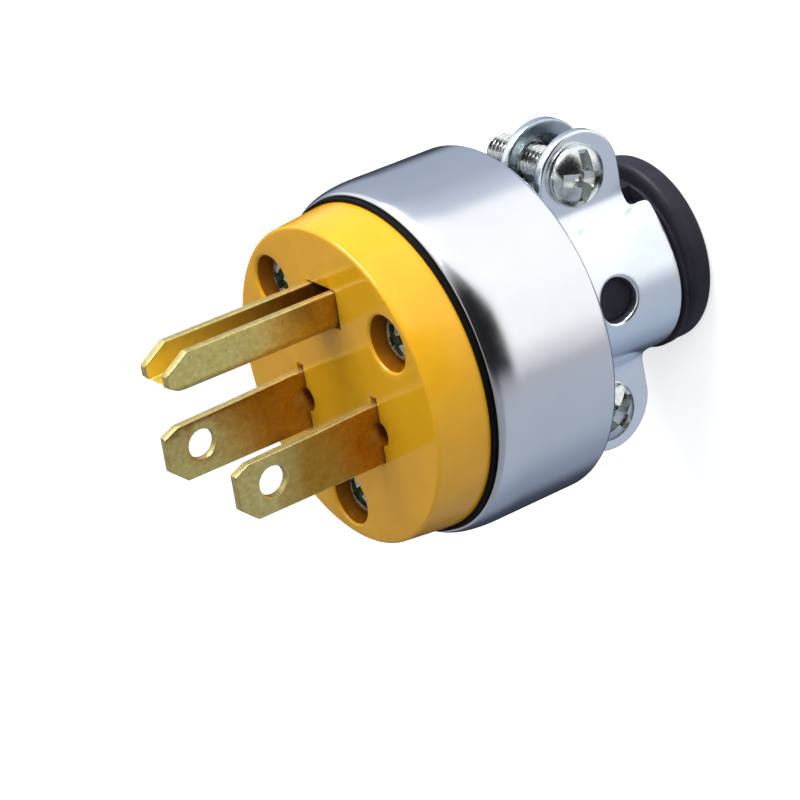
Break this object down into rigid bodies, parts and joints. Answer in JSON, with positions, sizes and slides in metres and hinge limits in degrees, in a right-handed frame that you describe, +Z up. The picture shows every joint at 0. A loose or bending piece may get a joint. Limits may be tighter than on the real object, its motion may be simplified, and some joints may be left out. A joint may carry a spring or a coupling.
{
  "type": "straight-blade grounding power plug",
  "caption": "Grounding power plug with flat brass blades, a folded ground pin, a yellow face, a round steel shell and a two-half cord clamp on a rubber bushing.",
  "frame": {"origin": "centre of the plug's footprint, on the plane of the cord bushing's rear face, on which the plug stands", "axes": "+Z up the plug's axis to the blade tips; +X from the neutral blade to the line blade, the side of the clamp screw heads; +Y to the ground pin"},
  "size_m": [0.037, 0.037, 0.06],
  "materials": {
    "rubber": "satin",
    "zinc_steel": "bright zinc plate",
    "screw_zinc": "zinc plate",
    "shell_steel": "satin polished plate",
    "black_liner": "matte",
    "black_phenolic": "satin",
    "yellow_plastic": "gloss",
    "brass": "brushed",
    "brass_screw": "satin",
    "nickel_screw": "nickel plate",
    "green_screw": "green passivated"
  },
  "bodies": {
    "root": {"cord_bushing": "rubber", "clamp_half_near": "zinc_steel", "clamp_half_far": "zinc_steel", "clamp_screw_ground_side": "screw_zinc", "clamp_screw_blade_side": "screw_zinc", "shell": "shell_steel", "liner": "black_liner", "rear_insert": "black_phenolic", "front_insert": "yellow_plastic", "line_blade": "brass", "neutral_blade": "brass", "ground_pin": "brass", "line_terminal_screw": "brass_screw", "neutral_terminal_screw": "nickel_screw", "ground_terminal_screw": "green_screw", "line_wire_plate": "brass_screw", "neutral_wire_plate": "nickel_screw", "ground_wire_plate": "brass_screw", "face_screw_line": "screw_zinc", "face_screw_neutral": "screw_zinc", "face_screw_bottom": "screw_zinc"}
  },
  "joints": []
}
